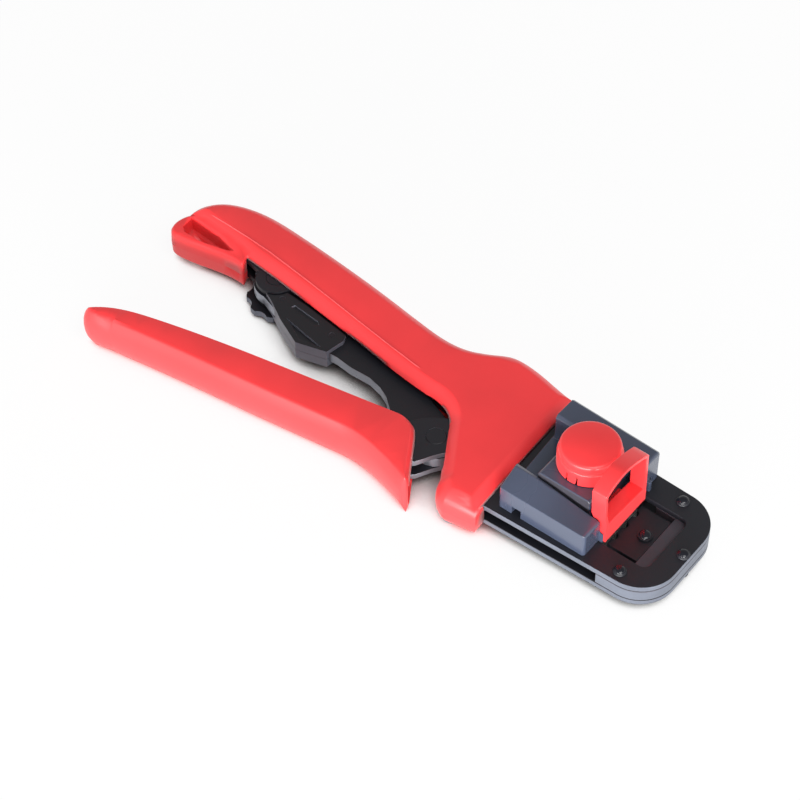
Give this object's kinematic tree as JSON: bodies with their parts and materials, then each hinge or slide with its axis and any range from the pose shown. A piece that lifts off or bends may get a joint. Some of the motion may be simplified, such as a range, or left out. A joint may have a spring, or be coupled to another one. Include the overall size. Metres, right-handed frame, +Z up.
{
  "type": "crimping tool",
  "caption": "Hand crimping tool with two plastic handled levers, a steel plate head, a toggle driven sliding jaw and a terminal locator with a turning knob.",
  "frame": {"origin": "on the resting face of the lower shell, straight below the jaw pivot", "axes": "+X towards the nose of the head, +Y from the moving handle towards the fixed handle, +Z up, away from the resting face"},
  "size_m": [0.2541, 0.0871, 0.04],
  "materials": {
    "red_plastic": "satin moulded red plastic",
    "slate_plastic": "satin slate grey plastic",
    "black_plastic": "satin black plastic",
    "black_steel": "black oxide steel",
    "grey_steel": "ground steel",
    "bright_steel": "bright steel"
  },
  "bodies": {
    "frame": {"frame_upper_plate": "black_steel", "frame_lower_plate": "black_steel", "nose_spacer": "grey_steel", "nose_rivets": "black_steel", "spine_spacer": "grey_steel", "spine_rivets": "bright_steel", "slide_guides": "grey_steel", "guide_rivets": "black_steel", "anvil_die": "grey_steel", "die_screw": "black_steel", "body_upper_shell": "red_plastic", "body_lower_shell": "red_plastic", "body_screws": "bright_steel", "locator_base": "slate_plastic", "locator_deck": "slate_plastic", "locator_screws": "bright_steel", "arch_spring": "bright_steel"},
    "link_arm": {"link_arm": "black_steel", "arm_cover_upper": "black_plastic", "arm_cover_lower": "black_plastic", "cover_screws": "black_steel"},
    "moving_handle": {"handle_upper_plate": "black_steel", "handle_lower_plate": "black_steel", "handle_rivets": "bright_steel", "jaw_pin": "black_steel", "link_pin": "black_steel", "moving_grip": "red_plastic", "pawl_pin": "bright_steel", "pawl_spring": "bright_steel"},
    "jaw": {"jaw_slide": "grey_steel", "punch_die": "grey_steel", "return_springs": "bright_steel"},
    "pawl": {"ratchet_pawl": "grey_steel"},
    "adjuster": {"adjuster_pin": "black_steel", "adjuster_wheel": "black_steel"},
    "knob": {"locator_knob": "red_plastic", "knob_spindle": "bright_steel"},
    "arch": {"locator_arch": "red_plastic"}
  },
  "joints": [
    {"name": "link_swing", "type": "hinge", "parent": "frame", "child": "link_arm", "pos_m": [-0.116, 0.015, 0.0095], "axis": [0, 0, 1], "range_deg": [0, 2.75]},
    {"name": "handle_squeeze", "type": "hinge", "parent": "link_arm", "child": "moving_handle", "pos_m": [-0.018, -0.0105, 0.0095], "axis": [0, 0, -1], "range_deg": [0, 16.71], "stiffness_Nm_per_rad": 1.5, "springref_deg": -5.73},
    {"name": "jaw_travel", "type": "slide", "parent": "frame", "child": "jaw", "axis": [1, 0, 0], "range_m": [0, 0.0032]},
    {"name": "pawl_rock", "type": "hinge", "parent": "moving_handle", "child": "pawl", "pos_m": [-0.0366, -0.0256, 0.0095], "axis": [0, 0, 1], "range_deg": [0, 5], "stiffness_Nm_per_rad": 0.03, "springref_deg": -2.86},
    {"name": "adjuster_turn", "type": "hinge", "parent": "frame", "child": "adjuster", "pos_m": [-0.116, 0.015, 0.0095], "axis": [0, 0, 1], "continuous": true},
    {"name": "knob_turn", "type": "hinge", "parent": "frame", "child": "knob", "pos_m": [0.0404, 0.0036, 0.034], "axis": [0, 0, 1], "continuous": true},
    {"name": "arch_slide", "type": "slide", "parent": "frame", "child": "arch", "axis": [1, 0, 0], "range_m": [0, 0.003], "stiffness_N_per_m": 250, "springref_m": -0.002}
  ],
  "couplings": [
    {"joint": "link_swing", "follows": "handle_squeeze", "ratio": 0.16231},
    {"joint": "jaw_travel", "follows": "handle_squeeze", "m_per_rad": 0.010636}
  ]
}
